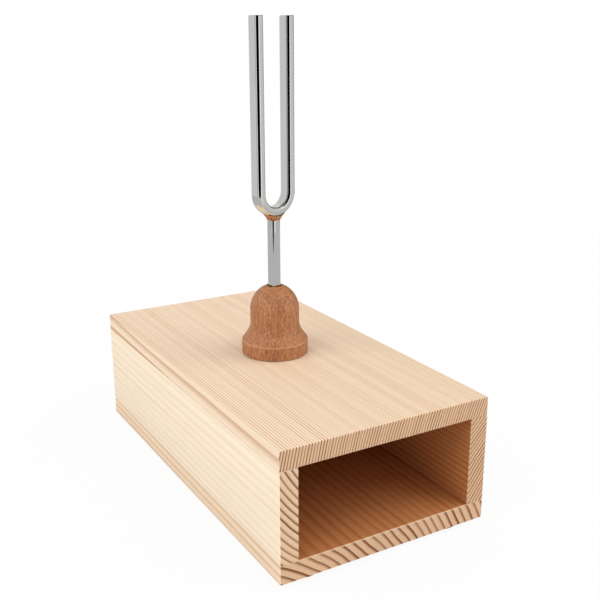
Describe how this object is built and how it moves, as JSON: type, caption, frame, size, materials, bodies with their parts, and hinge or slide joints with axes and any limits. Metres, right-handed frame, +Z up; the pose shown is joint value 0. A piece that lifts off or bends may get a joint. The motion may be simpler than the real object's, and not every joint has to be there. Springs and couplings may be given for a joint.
{
  "type": "tuning fork with resonator box",
  "caption": "Two-prong metal tuning fork standing in a turned wooden holder on an open-ended wooden resonator box.",
  "frame": {"origin": "on the surface that the feet stand on, under the middle of the box", "axes": "+Z up, +X across the box, +Y along the box from its open front to its closed back"},
  "size_m": [0.097, 0.183, 0.2056],
  "materials": {
    "spruce_top": "sanded quarter-sawn spruce",
    "spruce_bottom": "sanded flat-sawn spruce",
    "spruce_side": "sanded pale spruce",
    "spruce_back": "sanded spruce",
    "beech": "turned steamed beech, oiled",
    "screw_steel": "zinc-plated",
    "nickel": "polished nickel plate",
    "braze": "copper braze, left as melted",
    "rubber": "black rubber"
  },
  "bodies": {
    "box": {"top_board": "spruce_top", "bottom_board": "spruce_bottom", "left_side_board": "spruce_side", "right_side_board": "spruce_side", "back_board": "spruce_back", "fork_holder": "beech", "holder_screw": "screw_steel", "foot_front_left": "rubber", "foot_front_right": "rubber", "foot_back_left": "rubber", "foot_back_right": "rubber"},
    "fork": {"fork_prongs": "nickel", "fork_stem": "nickel", "braze_joint": "braze"}
  },
  "joints": [
    {"name": "fork_lift", "type": "slide", "parent": "box", "child": "fork", "axis": [0, 0, 1], "range_m": [0, 0.03]}
  ]
}
